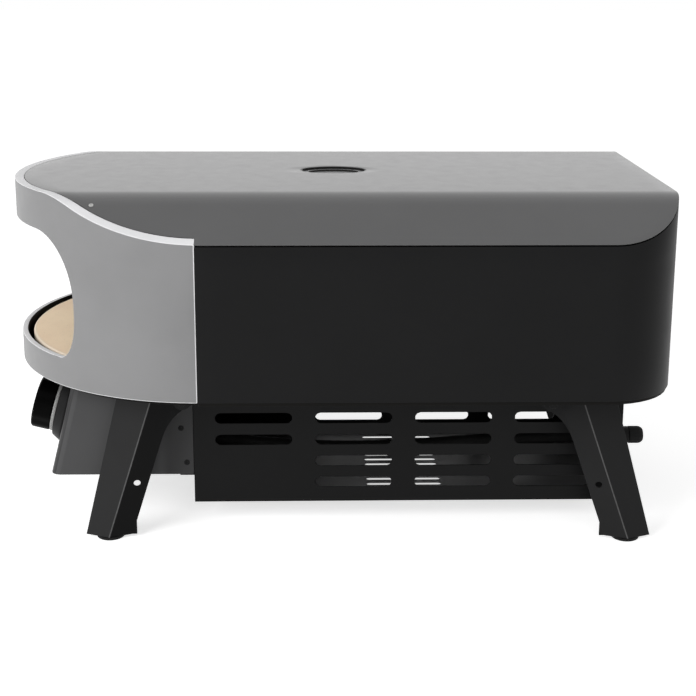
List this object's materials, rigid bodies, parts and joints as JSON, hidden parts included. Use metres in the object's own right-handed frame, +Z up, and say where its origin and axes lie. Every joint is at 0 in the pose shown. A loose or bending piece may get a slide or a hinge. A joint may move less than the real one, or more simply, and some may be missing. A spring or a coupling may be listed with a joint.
{
  "type": "portable pizza oven",
  "caption": "Low half-round gas pizza oven with a wide mouth, a turning stone, a sloped steel cover, a slotted housing with knob and rocker below, and folding sheet legs.",
  "frame": {"origin": "on the ground, under the middle of the body's length and width", "axes": "+Z up, the mouth towards -Y, the gas knob and inlet on the +X side"},
  "size_m": [0.434, 0.702, 0.379],
  "materials": {
    "band_grey": "satin grey powder coat",
    "cover_grey": "satin dark grey powder coat",
    "wall_black": "satin black powder coat",
    "housing_black": "matt black powder coat",
    "control_grey": "satin charcoal powder coat",
    "pan_black": "matt black heat paint",
    "liner_steel": "bare heat-tinted steel",
    "cordierite": "matt fired stone",
    "plated_steel": "zinc plated",
    "burner_steel": "heat-tinted stainless",
    "ceramic_white": "glazed white",
    "brass": "turned",
    "rubber_black": "matt",
    "plastic_black": "fine satin moulding",
    "leg_black": "satin black powder coat"
  },
  "bodies": {
    "oven": {"front_band": "band_grey", "top_cover": "cover_grey", "roof_dish": "cover_grey", "body_wrap": "wall_black", "floor_pan": "pan_black", "chamber_liner": "liner_steel", "shaft_bearing": "brass", "drive_motor": "plated_steel", "battery_box": "plastic_black", "battery_lid": "plastic_black", "burner_tube": "burner_steel", "flame_guard": "liner_steel", "igniter_electrode": "ceramic_white", "burner_pipe": "plated_steel", "gas_valve": "brass", "feed_hose": "rubber_black", "gas_inlet": "brass", "inlet_cap": "rubber_black", "side_panel_right": "housing_black", "side_panel_left": "housing_black", "base_plate": "housing_black", "rear_panel": "housing_black", "front_plate": "housing_black", "control_box": "control_grey", "knob_bezel": "plastic_black", "switch_case": "plastic_black", "leg_bracket_front_right": "leg_black", "leg_bracket_front_left": "leg_black", "leg_bracket_rear_right": "leg_black", "leg_bracket_rear_left": "leg_black", "hinge_pin_front_right": "leg_black", "hinge_pin_front_left": "leg_black", "hinge_pin_rear_right": "leg_black", "hinge_pin_rear_left": "leg_black"},
    "stone_table": {"cooking_stone": "cordierite", "turntable": "plated_steel", "turntable_shaft": "plated_steel"},
    "stem": {"valve_stem": "brass"},
    "gas_knob": {"knob": "plastic_black", "knob_ring": "plated_steel"},
    "rocker": {"motor_switch": "plastic_black"},
    "front_right_leg": {"leg_front_right": "leg_black", "foot_pad_front_right": "rubber_black"},
    "front_left_leg": {"leg_front_left": "leg_black", "foot_pad_front_left": "rubber_black"},
    "rear_right_leg": {"leg_rear_right": "leg_black", "foot_pad_rear_right": "rubber_black"},
    "rear_left_leg": {"leg_rear_left": "leg_black", "foot_pad_rear_left": "rubber_black"}
  },
  "joints": [
    {"name": "stone_spin", "type": "hinge", "parent": "oven", "child": "stone_table", "pos_m": [0, -0.134, 0.19], "axis": [0, 0, 1], "continuous": true},
    {"name": "knob_push", "type": "slide", "parent": "oven", "child": "stem", "axis": [0, 0.9686, -0.2487], "range_m": [0, 0.003], "stiffness_N_per_m": 400, "springref_m": -0.003},
    {"name": "knob_turn", "type": "hinge", "parent": "stem", "child": "gas_knob", "pos_m": [0.06, -0.29522, 0.1195], "axis": [0, -0.9686, 0.2487], "range_deg": [0, 270]},
    {"name": "rocker_tip", "type": "hinge", "parent": "oven", "child": "rocker", "pos_m": [-0.07, -0.29474, 0.11938], "axis": [-1, 0, 0], "range_deg": [0, 20]},
    {"name": "front_right_fold", "type": "hinge", "parent": "oven", "child": "front_right_leg", "pos_m": [0.142, -0.16, 0.16], "axis": [1, 0, 0], "range_deg": [0, 105]},
    {"name": "front_left_fold", "type": "hinge", "parent": "oven", "child": "front_left_leg", "pos_m": [-0.142, -0.16, 0.16], "axis": [1, 0, 0], "range_deg": [0, 105]},
    {"name": "rear_right_fold", "type": "hinge", "parent": "oven", "child": "rear_right_leg", "pos_m": [0.154, 0.2274, 0.16], "axis": [-1, 0, 0], "range_deg": [0, 105]},
    {"name": "rear_left_fold", "type": "hinge", "parent": "oven", "child": "rear_left_leg", "pos_m": [-0.154, 0.2274, 0.16], "axis": [-1, 0, 0], "range_deg": [0, 105]}
  ]
}
